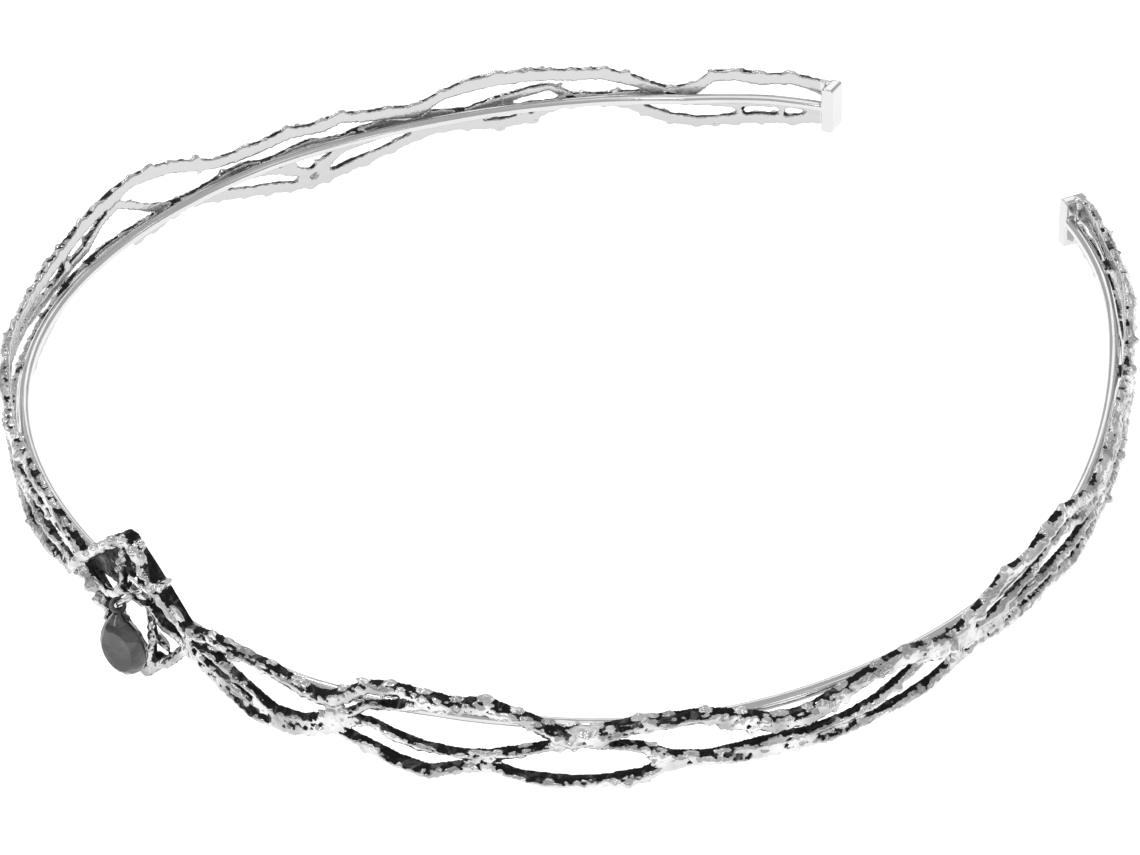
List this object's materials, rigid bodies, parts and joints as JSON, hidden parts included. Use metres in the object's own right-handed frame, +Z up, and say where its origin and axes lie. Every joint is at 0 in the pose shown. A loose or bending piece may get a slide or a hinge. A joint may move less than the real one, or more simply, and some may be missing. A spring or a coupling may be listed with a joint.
{
  "type": "open circlet tiara with hanging stone",
  "caption": "Open circlet of knobbly cast strands on a plain inner wire, with a box frame at the front and a faceted oval drop that swings from a jump ring.",
  "frame": {"origin": "middle of the bounding box in plan, on the surface that the circlet rests on", "axes": "+X to the wearer's left, -Y to the front of the head where the frame and the drop are, +Z up"},
  "size_m": [0.1755, 0.1794, 0.0254],
  "materials": {
    "silver": "sterling silver, bright on the knobs and the inside, blackened in the hollows",
    "stone": "faceted smoky stone"
  },
  "bodies": {
    "circlet": {"circlet": "silver"},
    "drop": {"jump_ring": "silver", "drop_cap": "silver", "stone": "stone"}
  },
  "joints": [
    {"name": "drop_swing", "type": "hinge", "parent": "circlet", "child": "drop", "pos_m": [0.0006, -0.08369, 0.01485], "axis": [-1, 0, 0], "range_deg": [0, 80]}
  ]
}
